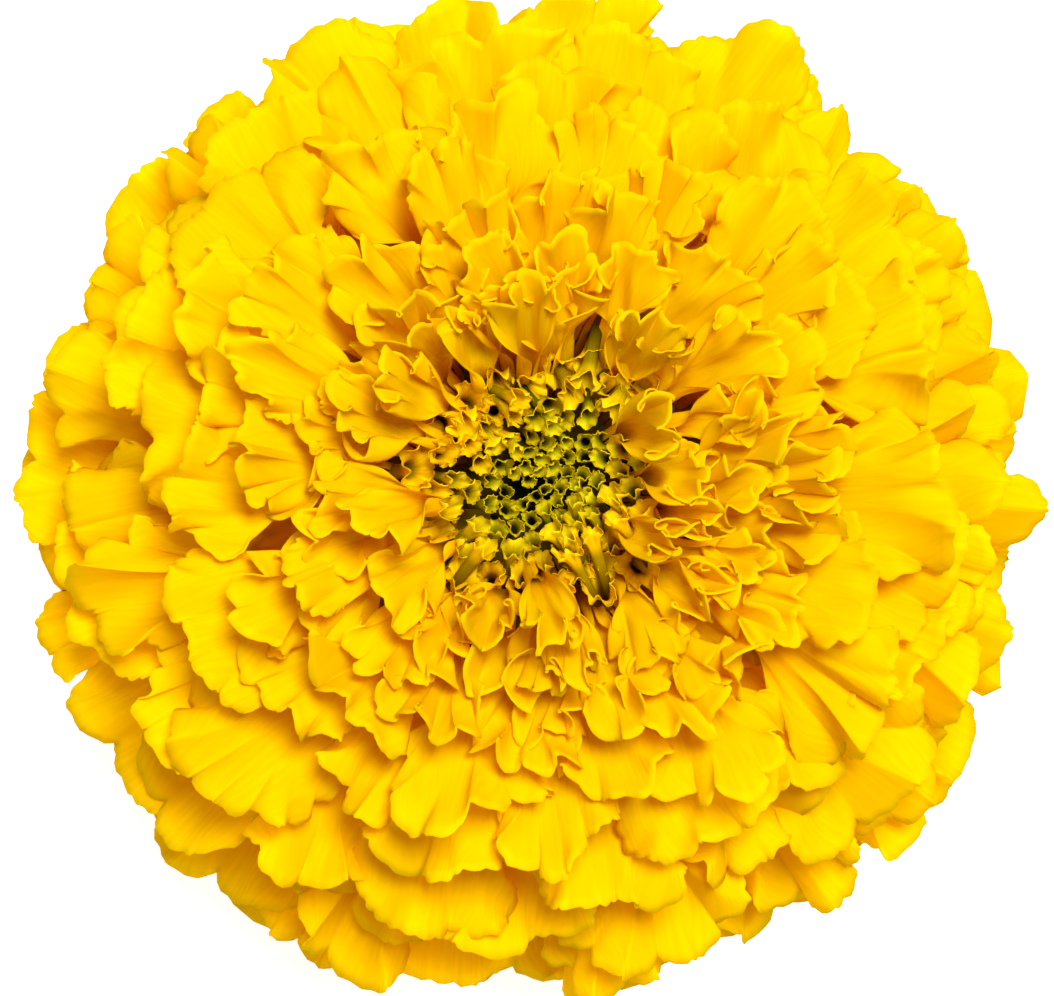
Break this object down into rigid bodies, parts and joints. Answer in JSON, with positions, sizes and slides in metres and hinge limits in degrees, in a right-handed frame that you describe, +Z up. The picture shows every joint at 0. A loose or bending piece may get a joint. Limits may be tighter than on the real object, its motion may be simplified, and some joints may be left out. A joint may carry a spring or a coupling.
{
  "type": "african marigold flower head",
  "caption": "Fully double pompon flower head of ruffled yellow ray florets round a green-centred eye, on a green cup cut flat to stand on.",
  "frame": {"origin": "middle of the flat cut base of the green cup, which the head stands on", "axes": "+Z up out of the cup to the eye of the flower; X and Y across the round head, with the picture's right along +X and its top along +Y"},
  "size_m": [0.0905, 0.0902, 0.0569],
  "materials": {
    "yellow_petals": "matte",
    "eye_petals": "matte",
    "green_bracts": "satin"
  },
  "bodies": {
    "root": {"involucre": "green_bracts", "ray_florets": "yellow_petals", "disc_florets": "eye_petals"}
  },
  "joints": []
}
